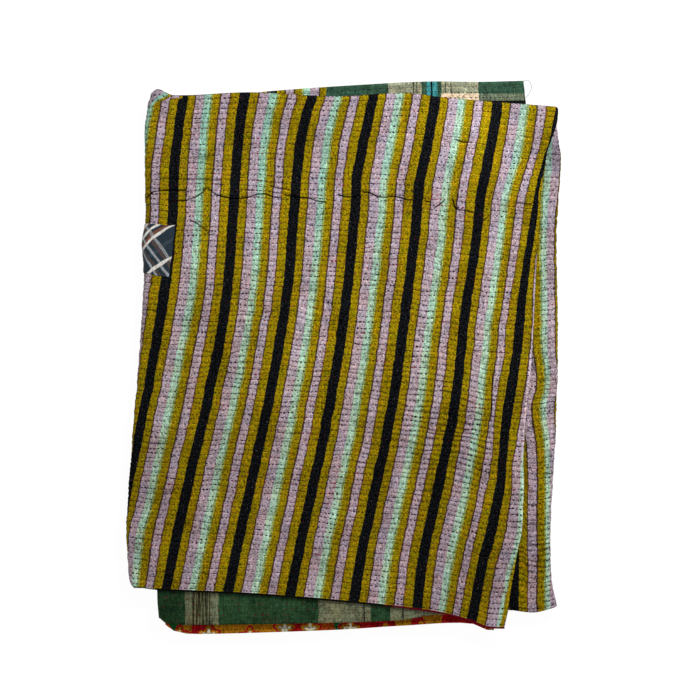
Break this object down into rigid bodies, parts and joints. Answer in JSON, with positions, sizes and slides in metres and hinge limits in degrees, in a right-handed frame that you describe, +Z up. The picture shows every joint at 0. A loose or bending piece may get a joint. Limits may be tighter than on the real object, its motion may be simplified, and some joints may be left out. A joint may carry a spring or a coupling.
{
  "type": "folded kantha quilt",
  "caption": "Hand-stitched striped cotton quilt, folded over and then back and forth into a flat oblong bundle, with a small plaid patch on one folded side.",
  "frame": {"origin": "centre of the bundle's outline, on the surface that it lies on", "axes": "+X along the folded top edge towards the cloth's free edge, +Y towards the folded top edge, +Z up off the surface"},
  "size_m": [0.544, 0.6926, 0.03],
  "materials": {
    "striped_cotton": "matte woven cotton, hand quilted",
    "plaid_cotton": "matte woven cotton"
  },
  "bodies": {
    "root": {"quilt": "striped_cotton", "patch": "plaid_cotton"}
  },
  "joints": []
}
